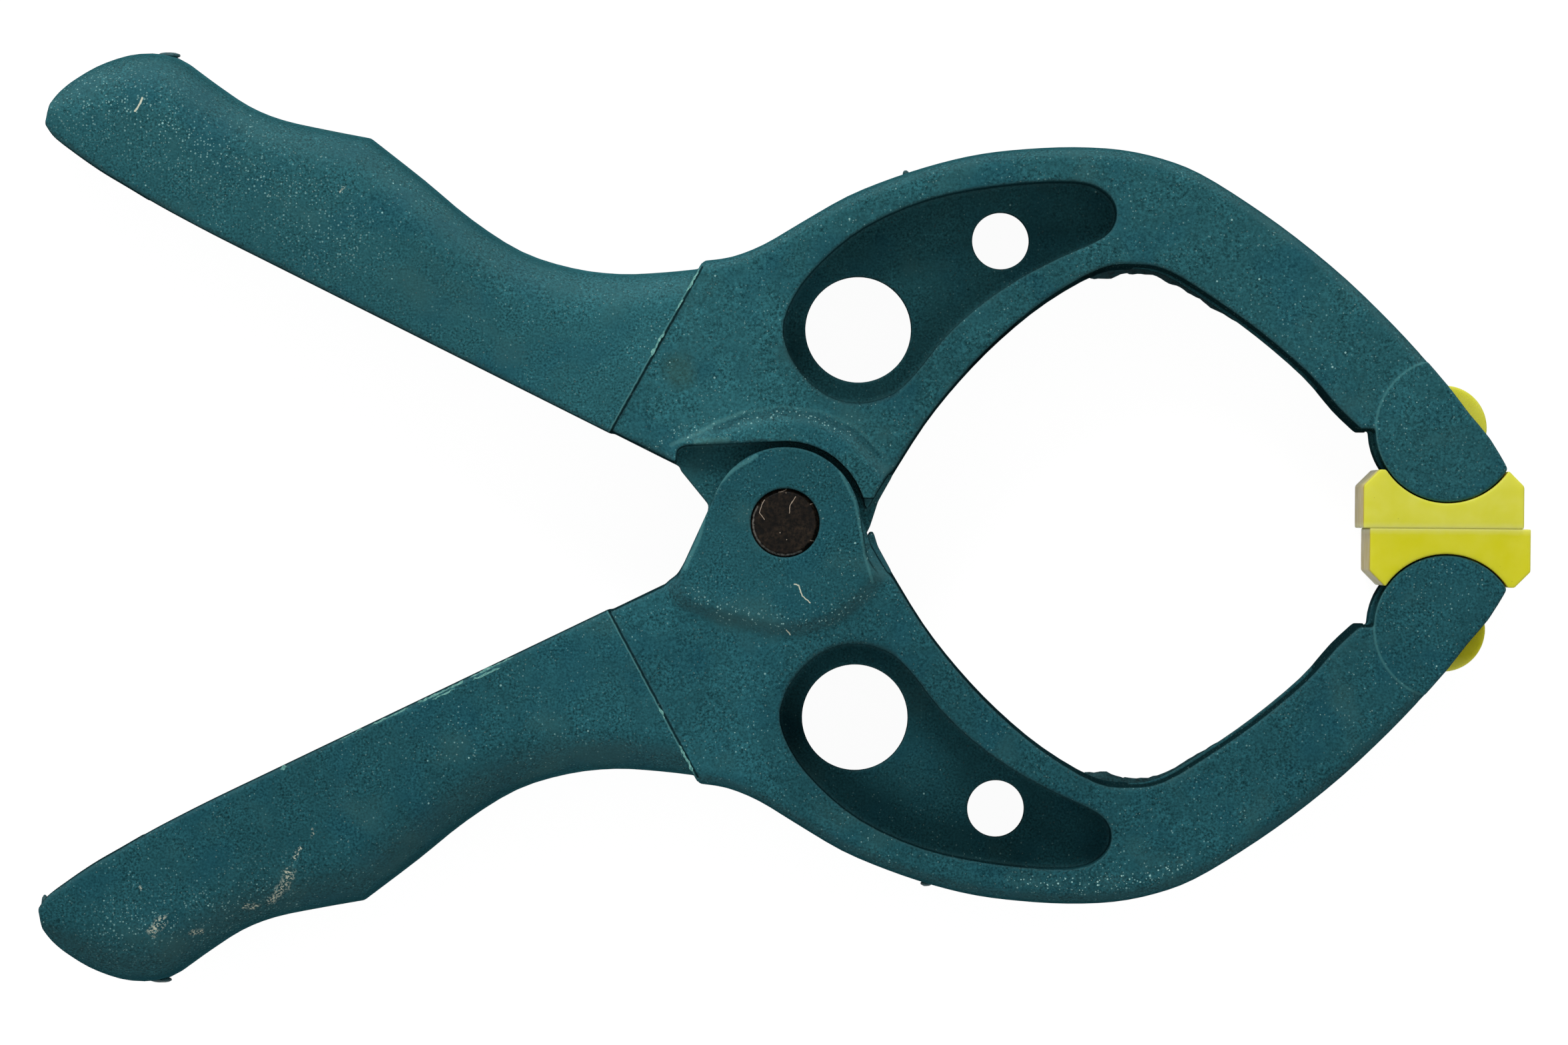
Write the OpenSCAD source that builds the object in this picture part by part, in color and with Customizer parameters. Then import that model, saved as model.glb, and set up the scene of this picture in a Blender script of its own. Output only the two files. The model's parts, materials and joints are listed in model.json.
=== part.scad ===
// Spring clamp with swivelling pads, lying flat with its jaws closed.
// The pivot axis is Z, the jaws point along +X, and the lowest face is at z = 0.
// The lower arm is the fork: its outer ears hold the pin, and the upper arm's inner ears, with
// the spring's coil between them, turn on it. Each arm is the same on both faces.

/* [Pivot] */
// Thickness of the clamp across the raised pivot bosses
pivot_t = 15; // [14.6:0.1:18]
// Diameter of the pivot pin
pin_d = 5.2; // [4:0.1:5.6]
// Radial clearance of the pin in the bores that turn on it
pin_play = 0.05; // [0.02:0.01:0.09]
// How far each end of the pin sits below the ear that it shows in
pin_sink = 0.25; // [0.1:0.05:0.6]
// Radius of the lower arm's outer ears, which show round the pin
ear_r = 5.7; // [5.2:0.1:6.2]
// Thickness of the outer ears
ear_t = 2.3; // [1.8:0.1:2.6]
// Radius of the upper arm's inner ears, beside the spring
inner_ear_r = 5.9; // [5.5:0.1:6.2]
// Thickness of the inner ears
inner_ear_t = 1.7; // [1.2:0.1:2]
// Gap between two ears that slide past each other
ear_gap = 0.15; // [0.1:0.05:0.3]
// Gap round the rim of an ear, in the recess of the other arm
rim_gap = 0.45; // [0.3:0.05:0.6]
// Height of the bosses above the faces of the arms
boss_rise = 0.8; // [0.4:0.1:1.2]
// Radius of the bosses at their foot
boss_r = 8.6; // [8:0.1:9]
// Width of the slope round the bosses
boss_slope = 1.1; // [0.6:0.1:1.6]

/* [Handles] */
// Angle between each handle's inner edge and the clamp's middle line
handle_angle = 26.1; // [24:0.1:30]
// Distance of the inner edges' lines from the pivot axis
handle_offset = 0.05; // [0.05:0.05:0.5]
// Length of the handles from the pivot axis to the tip
handle_len = 63.6; // [58:0.1:75]
// How far the handles stand out of the faces of the arms
handle_proud = 0.25; // [0.1:0.05:0.5]
// Wall left behind the channel that runs along the inside of each handle
handle_wall = 3; // [2.4:0.1:3.6]
// Width of the handle's channel
channel_w = 7.2; // [6.8:0.1:8.4]

/* [Jaws] */
// Distance from the pivot axis to the pad's swivel axis, along the clamp
jaw_reach = 49.7; // [46:0.1:60]
// Height of the pad's swivel axis above the line where the jaws close
jaw_lift = 7.4; // [7:0.1:8.6]
// Radius of the round jaw ends
jaw_r = 5.4; // [5:0.1:5.7]
// How far the round jaw ends stand out of the faces of the arms
jaw_proud = 0.15; // [0.05:0.05:0.4]
// Wall left behind the channel on the throat side of each jaw
jaw_wall = 3; // [2.4:0.1:3.6]
// Width of the jaw's channel
jaw_channel_w = 6; // [4:0.1:7]
// Radius of the bar that carries each pad
bar_r = 1.6; // [1.2:0.05:1.8]

/* [Web] */
// Thickness of the web at the bottom of the pockets
web_t = 2.4; // [1.6:0.1:4]
// Diameter of the large hole in each web
big_hole_d = 8; // [5:0.1:9]
// Diameter of the small hole in each web
small_hole_d = 4.3; // [2:0.1:5]

/* [Pads] */
// Length of the pads
pad_len = 12.1; // [11.6:0.1:14]
// Width of the pads across the clamp
pad_w = 14; // [12:0.1:15]
// Height of the pads' horns above the closing line
horn_h = 4.4; // [3.4:0.1:4.6]
// Chamfer on the outer corner of each horn
horn_chamfer = 1.2; // [0.4:0.05:1.6]
// How far the pad's middle lies from its swivel axis
pad_shift = 0.25; // [0:0.05:0.5]
// Clearance between the pad's saddle and the round jaw end
saddle_gap = 0.1; // [0.05:0.01:0.2]
// Radius of the tongue that snaps onto the bar
tongue_r = 3.2; // [2.8:0.1:3.4]
// Height of the tongue's middle above the swivel axis
tongue_lift = 0.2; // [0:0.05:0.4]
// Width of the tongue
tongue_w = 4.6; // [3:0.1:5]
// Gap at each side of the tongue, in the fork of the jaw
tongue_gap = 0.3; // [0.15:0.05:0.5]

/* [Spring] */
// Diameter of the spring wire
wire_d = 1.6; // [1.2:0.05:1.65]
// Radius of the coil, to the middle of the wire
coil_r = 4.3; // [4.1:0.05:4.6]
// Whole turns of the coil, besides the part turn between its legs
coil_turns = 2; // [1:1:2]
// Distance from the pivot axis to where each leg bears on its handle
leg_seat = 27; // [24:0.5:32]
// Length of each leg beyond the place where it bears
leg_tail = 7; // [3:0.5:10]
// Gap between a leg and the handle that it bears on
leg_gap = 0.08; // [0.02:0.01:0.2]

/* [Hidden] */
$fn = 64;

moulded_green = [0.13, 0.33, 0.36];
pad_yellow = [0.80, 0.79, 0.28];
pin_black = [0.12, 0.11, 0.10];
spring_steel = [0.62, 0.62, 0.64];

// Levels across the clamp, counted from its middle plane.
half_t = pivot_t / 2;
arm_h = half_t - boss_rise;
handle_h = arm_h + handle_proud;
ear_in = half_t - ear_t;
inner_ear_out = ear_in - ear_gap;
inner_ear_in = inner_ear_out - inner_ear_t;
pin_r = pin_d / 2;
far = 40;

// ---- Curves ----

// Smooth curve through the rows of p, with n steps between two rows. It turns sharply at the
// rows whose numbers are in corners.
function row(p, i) = p[max(0, min(len(p) - 1, i))];
function spline_at(p, i, t, corners = []) =
    let (a = search(i, corners) == [] ? row(p, i - 1) : p[i], b = row(p, i), c = row(p, i + 1),
         d = search(i + 1, corners) == [] ? row(p, i + 2) : c)
    b + t / 2 * (c - a + t * (2 * a - 5 * b + 4 * c - d + t * (3 * (b - c) + d - a)));
function spline(p, n, corners = []) =
    [for (i = [0:len(p) - 2]) for (j = [0:n - 1]) spline_at(p, i, j / n, corners), p[len(p) - 1]];
function closed_spline(p, n) =
    let (m = len(p), q = [for (i = [-1:m + 1]) p[(i + m) % m]])
    [for (i = [1:m]) for (j = [0:n - 1]) spline_at(q, i, j / n)];

function arc(r, from, to, steps) =
    [for (i = [0:steps]) let (a = from + (to - from) * i / steps) [r * cos(a), r * sin(a)]];

// Where a line from point p meets the rim of radius r round the pivot. It runs a little way
// into the rim, so that the two cross cleanly.
rim_bite = 0.05;
function rim_point(r, a) = (r - rim_bite) * [cos(a), sin(a)];
function touch_point(p, r, side) = rim_point(r, atan2(p.y, p.x) + side * acos(r / norm(p)));

// ---- Outline of an arm ----

// A place on the handle: distance along its inner edge, and height above that edge.
function on_handle(along, across) =
    along * [-cos(handle_angle), sin(handle_angle)]
    + (across + handle_offset) * [sin(handle_angle), cos(handle_angle)];

// A station of the handle: outer edge (along, across), inner edge (along, across), then the
// rounding of the outer and of the inner edge. Those past the waist are set back from the tip.
function from_tip(outer_back, across, inner_back, lift, outer_r, inner_r) =
    [handle_len - outer_back, across, handle_len - inner_back, lift, outer_r, inner_r];
function to_handle(s) = concat(on_handle(s[0], s[1]), on_handle(s[2], s[3]), [s[4], s[5]]);

handle_start = 14.8;
waist_at = 27;
waist_h = 9.4;
swell_back = 27.6;
before_swell = (waist_at + handle_len - swell_back) / 2;
ridge = 7;
handle_stations = [
    [14.15, 14.4, handle_start, 0, 3, 0.4],
    [16.6, 12.85, 16.6, 0, 3.4, 0.4],
    [19.6, 11.2, 19.6, 0, 3.8, 0.4],
    [23, 10, 23, 0, 4, 0.4],
    [waist_at, waist_h, waist_at, 0, 4, 0.4],
    [before_swell, 9.88, before_swell, 0, 4, 0.4],
    from_tip(swell_back, 10.93, swell_back, 0, 4, 0.4),
    from_tip(22.6, 11.95, 22.6, 0, 4, 0.4),
    from_tip(19.4, 11.05, 19.4, 0, 3.8, 0.4),
    from_tip(16, 10.2, 16, 0, 3.8, 0.4),
    from_tip(13.2, 10, 13.2, 0.05, 4, 0.4),
    from_tip(10.1, 10.4, 10.5, 0.15, 4.1, 0.4),
    from_tip(6.8, 10.85, 7.9, 0.35, 4.2, 0.4),
    from_tip(4.1, 9.85, 5.8, 0.5, 4.2, 0.4),
    from_tip(2.1, 8.1, 4.2, 0.7, 4, 0.5),
    from_tip(0.8, 6.3, 2.7, 0.95, 3.2, 0.5),
    from_tip(0.15, 4.8, 1.5, 1.2, 2.2, 0.4),
    from_tip(0, 3.6, 0.5, 1.75, 0.7, 0.2)
];
handle_rail = [for (s = spline(handle_stations, 3, [ridge])) to_handle(s)];

// A station of the front arm: outer edge (x, y), inner edge (x, y). Those of the jaw are set
// from the pad's swivel axis, and those round the throat's highest place lie a share of the way
// between the web and the jaw.
front_outer_r = 1.1;
front_inner_r = 0.3;
root_along = 8.9;
root_corner = on_handle(root_along, 0);
throat_corner = [8, 3.5];
web_stations = [
    concat(on_handle(14.35, 14.95), on_handle(15, 0)),
    concat([-4.2, 20.1], on_handle(12, 0)),
    concat([-1.8, 21.05], root_corner),
    [1, 22.72, -3, 4.2],
    [4.5, 24.75, 3, 3.9],
    concat([8, 26.2], throat_corner),
    [11.4, 27.3, 10.5, 7.5],
    [14.65, 28.05, 13.15, 10.85]
];
web_end = [18.05, 28.45, 16.15, 13.95];
inner_corners = [2, 5];

function from_jaw(outer_x, outer_y, inner_x, inner_y) =
    [jaw_reach + outer_x, jaw_lift + outer_y, jaw_reach + inner_x, jaw_lift + inner_y];
jaw_stations = [
    from_jaw(-18.55, 19.3, -21.15, 11.5),
    from_jaw(-14.9, 17.1, -17.75, 9.45),
    from_jaw(-11.2, 14.5, -14.2, 6.95),
    from_jaw(-7.35, 11.35, -10.6, 3.9),
    from_jaw(-3.85, 8, -8.4, 1.4),
    from_jaw(-1.4, 5.4, -6.7, -0.2)
];
function between(outer_share, outer_y, inner_share, inner_y) = [
    web_end[0] + outer_share * (jaw_stations[0][0] - web_end[0]), outer_y,
    web_end[2] + inner_share * (jaw_stations[0][2] - web_end[2]), inner_y];
front_stations = concat(web_stations, [
    web_end,
    between(0.27, 28.62, 0.28, 16.8),
    between(0.54, 28.45, 0.59, 19),
    between(0.78, 27.8, 0.8, 19.35)
], jaw_stations);
front_smooth = spline(front_stations, 3);
front_cornered = spline(front_stations, 3, inner_corners);

// The end of the jaw, with the rounding of its outer edge.
end_stations = [
    concat(from_jaw(-1.4, 5.4, -5.15, -0.2), 1.1),
    concat(from_jaw(0.35, 3.4, -3.85, -1), 0.6),
    concat(from_jaw(1.85, 1.45, -2.4, -2), 0.35),
    concat(from_jaw(3.45, -0.45, -0.4, -3.2), 0.3),
    concat(from_jaw(4.7, -2.5, 2, -4), 0.3)
];
end_rail = [for (s = spline(end_stations, 2)) concat(s, front_inner_r)];
front_rail = concat(
    [for (i = [0:len(front_smooth) - 1]) concat(
        outer_point(front_smooth[i]), inner_point(front_cornered[i]), [front_outer_r, front_inner_r])],
    end_rail);
function turned(p) = [for (i = [1:len(p)]) p[len(p) - i]];

function outer_point(s) = [s[0], s[1]];
function inner_point(s) = [s[2], s[3]];
function across_dir(s) = (outer_point(s) - inner_point(s)) / norm(outer_point(s) - inner_point(s));

// ---- Moulded body between two rails ----

// The sides lean in from the parting line at the middle plane towards each face.
draft = 0.3;
handle_draft = 0.1;
handle_steps = 8;
front_steps = 5;
inner_steps = 2;

// The upper half of a station's section: [distance from the inner edge, level], from the middle up.
function half_section(w, h, ro, ri, lean, steps) = concat(
    [for (i = [0:steps]) let (a = 90 * i / steps) [w - draft - ro * (1 - cos(a)), h - ro * (1 - sin(a))]],
    [for (i = [0:inner_steps]) let (a = 90 * i / inner_steps) [lean + ri * (1 - sin(a)), h - ri * (1 - cos(a))]]
);
function section(w, h, ro, ri, lean, steps) =
    let (up = half_section(w, h, ro, ri, lean, steps), m = len(up))
    concat([[w, 0]], up, [[0, 0]], [for (i = [1:m]) [up[m - i].x, -up[m - i].y]]);

module rail_body(rail, h, lean, steps) {
    rings = [for (s = rail)
        let (w = norm(outer_point(s) - inner_point(s)), u = across_dir(s), p = inner_point(s))
        [for (q = section(w, h, s[4], s[5], lean, steps)) [p.x + u.x * q.x, p.y + u.y * q.x, q.y]]];
    n = len(rings[0]);
    last = len(rings) - 1;
    sides = [for (i = [0:last - 1]) for (j = [0:n - 1])
        let (a = i * n + j, b = i * n + (j + 1) % n, c = b + n, d = a + n)
        for (f = [[a, b, c], [a, c, d]]) f];
    first_cap = [for (j = [1:n - 2]) [0, j + 1, j]];
    last_cap = [for (j = [1:n - 2]) [last * n, last * n + j, last * n + j + 1]];
    polyhedron([for (r = rings) for (p = r) p], concat(sides, first_cap, last_cap));
}

// ---- Pivot ----

// Places along the throat side of the pivot: on the inner ear, on the face, and on the boss.
neck_deep = [[6.4, -0.2], [7, 1.7], throat_corner, [8.5, 6]];
neck_face = [[6.46, 1.6], [7.2, 2.85], [8, 4.1], [8.9, 6.3]];
neck_top = [[6.15, 2.5], [6.7, 3.4], [7.9, 4.6]];
recess_corner = [-8.1, 4.9];

// Outline of an ear of radius r: its rim round the pin, a flank that touches it on the
// handle's side, and a flank through the given places on the throat side.
root_round = 1;
root_fill = [-0.07, -0.07];
module ear_outline(r, neck) {
    circle(r = r);
    flank = touch_point(root_corner, r, 1);
    flank_dir = (flank - root_corner) / norm(flank - root_corner);
    polygon(concat([on_handle(root_along + root_round, 0.1), root_corner + root_fill,
                    root_corner + root_round * flank_dir, flank, touch_point(neck[0], r, -1)], neck,
                   [[root_corner.x + 1, neck[len(neck) - 1].y]]));
}

// Outline of an inner ear, whose flank on the handle's side runs straight in to its rim.
flank_end = 1.25;
module inner_ear_outline() {
    circle(r = inner_ear_r);
    flank = rim_point(inner_ear_r, 180 - asin(flank_end / inner_ear_r));
    polygon(concat([root_corner, flank, touch_point(neck_deep[0], inner_ear_r, -1)],
                   neck_deep, [[root_corner.x + 1, neck_deep[3].y]]));
}

// Room for an ear of the other arm, and for its flank as the handles close.
brow_end = 0.6;
module ear_room(r) {
    circle(r = r);
    polygon([[0, r], [-6.5, r - 0.35], [-7.7, r - 0.45], recess_corner + [-0.1, 0.5], recess_corner + [-0.15, 0],
             [root_corner.x - 0.05, root_corner.y], [root_corner.x - 1.3, -far / 2], [far / 2, -far / 2],
             [far / 2, brow_end], [0, brow_end]]);
}

// Outline of a boss at one level: a round rise over the pivot, drawn out to both sides and
// closed round the handle's inner corner.
boss_from = 42;
boss_steps = 10;
brow_top = 1.9;
function boss_line(r, to, run, corners) = concat(
    [r * [cos(boss_from), sin(boss_from)] + 3.5 * [sin(boss_from), -cos(boss_from)]],
    arc(r, boss_from, to, boss_steps),
    [r * [cos(to), sin(to)] + run * [-sin(to), cos(to)]],
    [for (c = corners) root_corner + c]);
boss_foot = boss_line(boss_r, 108, 5.4, [[-0.4, 2.2], [-0.75, 1.45], [-0.7, 0.6]]);
boss_top = boss_line(boss_r - boss_slope, 104, 4.8, [[0.87, 1.75], [0.47, 1.15], [0.1, 0.25]]);
boss_end = [[-2, brow_top], [6.6, brow_top]];

module boss(neck) {
    sink = 0.5;
    low = concat([for (i = [0:len(boss_foot) - 1]) boss_foot[i] + (boss_foot[i] - boss_top[i]) * sink / boss_rise],
                 boss_end);
    top = concat(boss_top, boss_end);
    n = len(top);
    intersection() {
        polyhedron(concat([for (p = low) [p.x, p.y, arm_h - sink]], [for (p = top) [p.x, p.y, half_t]]), concat(
            [for (i = [0:n - 1]) for (f = [[i, n + (i + 1) % n, (i + 1) % n], [i, n + i, n + (i + 1) % n]]) f],
            [for (i = [1:n - 2]) [0, i, i + 1]],
            [for (i = [1:n - 2]) [n, n + i + 1, n + i]]));
        linear_extrude(half_t + 1) polygon(concat(
            [[ear_r + 0.1, 0.5]], neck, [[10.4, 8.4], [8, 12], [-8, 12], on_handle(14, draft), root_corner + [-0.1, 0.1]]));
    }
}

// The full height of an outer ear, up to the boss that it runs into.
module ear_cap() {
    linear_extrude(half_t) intersection() {
        ear_outline(ear_r, neck_top);
        polygon(concat(boss_top, [[root_corner.x - 1, -far / 2], [far / 2, -far / 2]]));
    }
}

// ---- Cuts ----

pocket_points = [
    [-0.3, 14.2], [0.5, 17], [2.6, 19.7], [5.9, 22.35], [10.5, 24.4], [15.5, 25.45], [20.3, 25.85],
    [22.9, 25.6], [24.4, 24.5], [24.7, 23], [23.7, 21.6], [20.5, 20.1], [17.3, 18.4], [14.2, 16.2],
    [11.7, 13.8], [9.8, 11.4], [8.1, 9.8], [5.6, 9.05], [3.1, 9.6], [1, 11.4]
];
big_hole = [5.4, 14.65];
small_hole = [16.1, 21.45];

module pocket_outline() {
    polygon(closed_spline(pocket_points, 3));
}

module pockets() {
    for (side = [0, 1]) mirror([0, 0, side]) translate([0, 0, web_t / 2]) linear_extrude(far) pocket_outline();
    translate(big_hole) cylinder(d = big_hole_d, h = far, center = true);
    translate(small_hole) cylinder(d = small_hole_d, h = far, center = true);
}

// Channel along the inside of the handle, open to the spring's bay.
channel_end = handle_len - 9.8;
channel_root = [10, 7.2];
module handle_channel() {
    floor_line = [for (s = handle_rail)
        if (s[0] < on_handle(16, 14).x) if (inner_point(s).x > on_handle(channel_end, 0).x)
            outer_point(s) - handle_wall * across_dir(s)];
    linear_extrude(channel_w, center = true)
        polygon(concat(
            [[0, 0], [0, bay_r]],
            [on_handle(channel_root.x, channel_root.y)],
            floor_line,
            [on_handle(channel_end, 0.6), on_handle(channel_end, -3), on_handle(8, -3)]));
}

// Channel on the throat side of the jaw, from past the pocket to the fork.
jaw_channel_back = 21.5;
jaw_channel_front = 4.95;
module jaw_channel() {
    walls = [for (s = front_rail)
        if (s[0] > jaw_reach - jaw_channel_back && s[0] < jaw_reach - jaw_channel_front) s];
    m = len(walls);
    linear_extrude(jaw_channel_w, center = true)
        polygon(concat(
            [for (s = walls) outer_point(s) - jaw_wall * across_dir(s)],
            [for (i = [1:m]) inner_point(walls[m - i]) - 2 * across_dir(walls[m - i])]));
}

bay_r = coil_r + wire_d / 2 + 0.8;

// In the upper arm: room for the lower arm's ears on both faces, and the bay of the spring.
module tongue_cuts() {
    for (side = [0, 1]) mirror([0, 0, side])
        translate([0, 0, inner_ear_out]) linear_extrude(far) ear_room(ear_r + rim_gap);
    linear_extrude(2 * inner_ear_in, center = true) ear_room(bay_r);
}

// In the lower arm: room for the upper arm's inner ears, right across.
module fork_cuts() {
    linear_extrude(2 * ear_in, center = true) ear_room(inner_ear_r + rim_gap);
}

// ---- Jaw end ----

jaw_axis = [jaw_reach, jaw_lift];
fork_r = jaw_r + 0.5;
module jaw_disc() {
    outer = [for (s = end_rail) outer_point(s) - draft * across_dir(s)];
    intersection() {
        translate(jaw_axis) cylinder(r = jaw_r, h = 2 * (arm_h + jaw_proud), center = true);
        linear_extrude(far, center = true) polygon(concat(outer, [
            jaw_axis + [jaw_r, -jaw_r], jaw_axis + [-2 * jaw_r, -2 * jaw_r], jaw_axis + [-2 * jaw_r, jaw_r]]));
    }
}

// ---- Pieces ----

// What both arms have, to the upper arm's side of the middle line.
module arm_body() {
    rail_body(handle_rail, handle_h, handle_draft, handle_steps);
    rail_body(turned(front_rail), arm_h, draft, front_steps);
    linear_extrude(2 * inner_ear_out, center = true) inner_ear_outline();
    jaw_disc();
}

module arm_cuts() {
    handle_channel();
    jaw_channel();
    pockets();
    translate(jaw_axis) cylinder(r = fork_r, h = tongue_w + 2 * tongue_gap, center = true);
}

// The bar that a pad snaps onto runs across the fork, into the jaw at both ends.
bar_seat = 2;
module pad_bar() {
    translate(jaw_axis) cylinder(r = bar_r, h = tongue_w + 2 * bar_seat, center = true);
}

module upper_arm() {
    color(moulded_green) translate([0, 0, half_t]) difference() {
        union() {
            difference() {
                union() {
                    arm_body();
                    linear_extrude(2 * arm_h, center = true) polygon(concat(
                        [root_corner, [0, brow_end], [ear_r + 0.1, brow_end]], neck_face,
                        [[root_corner.x + 1, neck_face[3].y]]));
                    for (side = [0, 1]) mirror([0, 0, side]) boss(neck_face);
                }
                arm_cuts();
                tongue_cuts();
            }
            pad_bar();
        }
        cylinder(r = pin_r + pin_play, h = far, center = true);
    }
}

module lower_arm() {
    color(moulded_green) translate([0, 0, half_t]) rotate([180, 0, 0]) difference() {
        union() {
            difference() {
                union() {
                    arm_body();
                    linear_extrude(2 * arm_h, center = true) ear_outline(ear_r, neck_face);
                    for (side = [0, 1]) mirror([0, 0, side]) {
                        boss(neck_top);
                        ear_cap();
                    }
                }
                arm_cuts();
                fork_cuts();
            }
            pad_bar();
        }
        cylinder(r = pin_r, h = far, center = true);
    }
}

module pivot_pin() {
    chamfer = 0.3;
    color(pin_black) rotate_extrude() polygon([
        [0, pin_sink], [pin_r - chamfer, pin_sink], [pin_r, pin_sink + chamfer],
        [pin_r, pivot_t - pin_sink - chamfer], [pin_r - chamfer, pivot_t - pin_sink], [0, pivot_t - pin_sink]]);
}

module pad(shift) {
    saddle_r = jaw_r + saddle_gap;
    low = -jaw_lift;
    high = horn_h - jaw_lift;
    end_a = shift - pad_len / 2;
    end_b = shift + pad_len / 2;
    bore_r = bar_r + 0.05;
    neck_w = 4.4;
    difference() {
        union() {
            difference() {
                linear_extrude(pad_w, center = true) polygon([
                    [end_a, low], [end_b, low], [end_b, high - horn_chamfer], [end_b - horn_chamfer, high],
                    [end_a + horn_chamfer, high], [end_a, high - horn_chamfer]]);
                cylinder(r = saddle_r, h = far, center = true);
            }
            translate([0, tongue_lift, 0]) cylinder(r = tongue_r, h = tongue_w, center = true);
            linear_extrude(tongue_w, center = true) polygon([
                [-neck_w / 2, 0], [neck_w / 2, 0], [neck_w / 2, low + 1], [-neck_w / 2, low + 1]]);
        }
        cylinder(r = bore_r, h = far, center = true);
        rotate([0, 0, 125]) translate([0, -1.2, -far / 2]) cube([far / 4, 2.4, far]);
    }
}

module upper_pad() {
    color(pad_yellow) translate([jaw_axis.x, jaw_axis.y, half_t]) pad(-pad_shift);
}

module lower_pad() {
    color(pad_yellow) translate([jaw_axis.x, -jaw_axis.y, half_t]) rotate([180, 0, 0]) pad(pad_shift);
}

// ---- Spring ----

// Each leg runs straight from the coil to the floor of its handle's channel.
seat_height = waist_h - handle_wall - wire_d / 2 - leg_gap;
leg_angle = atan2(seat_height + handle_offset, leg_seat) - asin(coil_r / norm([leg_seat, seat_height + handle_offset]));
leg_dir = 180 - handle_angle - leg_angle;
leg_len = sqrt(leg_seat * leg_seat + pow(seat_height + handle_offset, 2) - coil_r * coil_r) + leg_tail;
coil_sweep = 2 * (leg_dir - 90) + 360 * coil_turns;
coil_side = 0.13;
coil_rise = 2 * inner_ear_in - wire_d - 2 * coil_side;
coil_pitch = coil_rise * 360 / coil_sweep;
ring_count = ceil(coil_sweep / 45);

function coil_point(a) = [coil_r * cos(a), coil_r * sin(a), coil_rise * (a - (90 - leg_dir)) / coil_sweep - coil_rise / 2];
function leg_point(side, along) =
    let (a = side * (leg_dir - 90), d = side * leg_dir)
    [coil_r * cos(a) + along * cos(d), coil_r * sin(a) + along * sin(d), side * coil_rise / 2];
wire_path = concat(
    [for (s = [leg_len, leg_len - wire_d, leg_len / 2]) leg_point(-1, s)],
    [for (i = [0:ring_count]) coil_point(90 - leg_dir + coil_sweep * i / ring_count)],
    [for (s = [leg_len / 2, leg_len - wire_d, leg_len]) leg_point(1, s)]
);
wire_sides = 6;

function unit(v) = v / norm(v);
function wire_ring(i) =
    let (
        p = wire_path[i],
        t = unit(row(wire_path, i + 1) - row(wire_path, i - 1)),
        n = unit(cross([0, 0, 1], t)),
        b = cross(t, n)
    )
    [for (j = [0:wire_sides - 1]) let (a = 360 * j / wire_sides) p + wire_d / 2 * (n * cos(a) + b * sin(a))];

// Least gap between points of the wire that lie more than half a turn apart.
wire_gap = min([for (i = [0:len(wire_path) - 1]) for (j = [0:len(wire_path) - 1])
    if (j - i > 4) norm(wire_path[i] - wire_path[j])]) - wire_d;

module torsion_spring() {
    echo(least_gap_of_spring_wire = wire_gap);
    rings = [for (i = [0:len(wire_path) - 1]) wire_ring(i)];
    n = wire_sides;
    last = len(rings) - 1;
    color(spring_steel) translate([0, 0, half_t]) polyhedron([for (r = rings) for (p = r) p], concat(
        [for (i = [0:last - 1]) for (j = [0:n - 1])
            let (a = i * n + j, b = i * n + (j + 1) % n)
            for (f = [[a, b, b + n], [a, b + n, a + n]]) f],
        [for (j = [1:n - 2]) [0, j + 1, j]],
        [for (j = [1:n - 2]) [last * n, last * n + j, last * n + j + 1]]));
}

upper_arm();
lower_arm();
pivot_pin();
torsion_spring();
upper_pad();
lower_pad();
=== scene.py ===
# %% [markdown]
# # Spring clamp
# This lesson dresses a small hand-squeezed spring clamp that lies flat with its jaws closed.
# The solids of its six pieces are already built at their real size. Here they get what a
# moulding has and a solid lacks: soft edges, a grained skin, dust, wear and a little flash.
# Every length is in metres, and `mm` turns a size in millimetres into metres.

# %% Load the solids
import json
import math
import random
from types import SimpleNamespace

import bmesh
import bpy
from mathutils import Matrix, Vector

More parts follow.
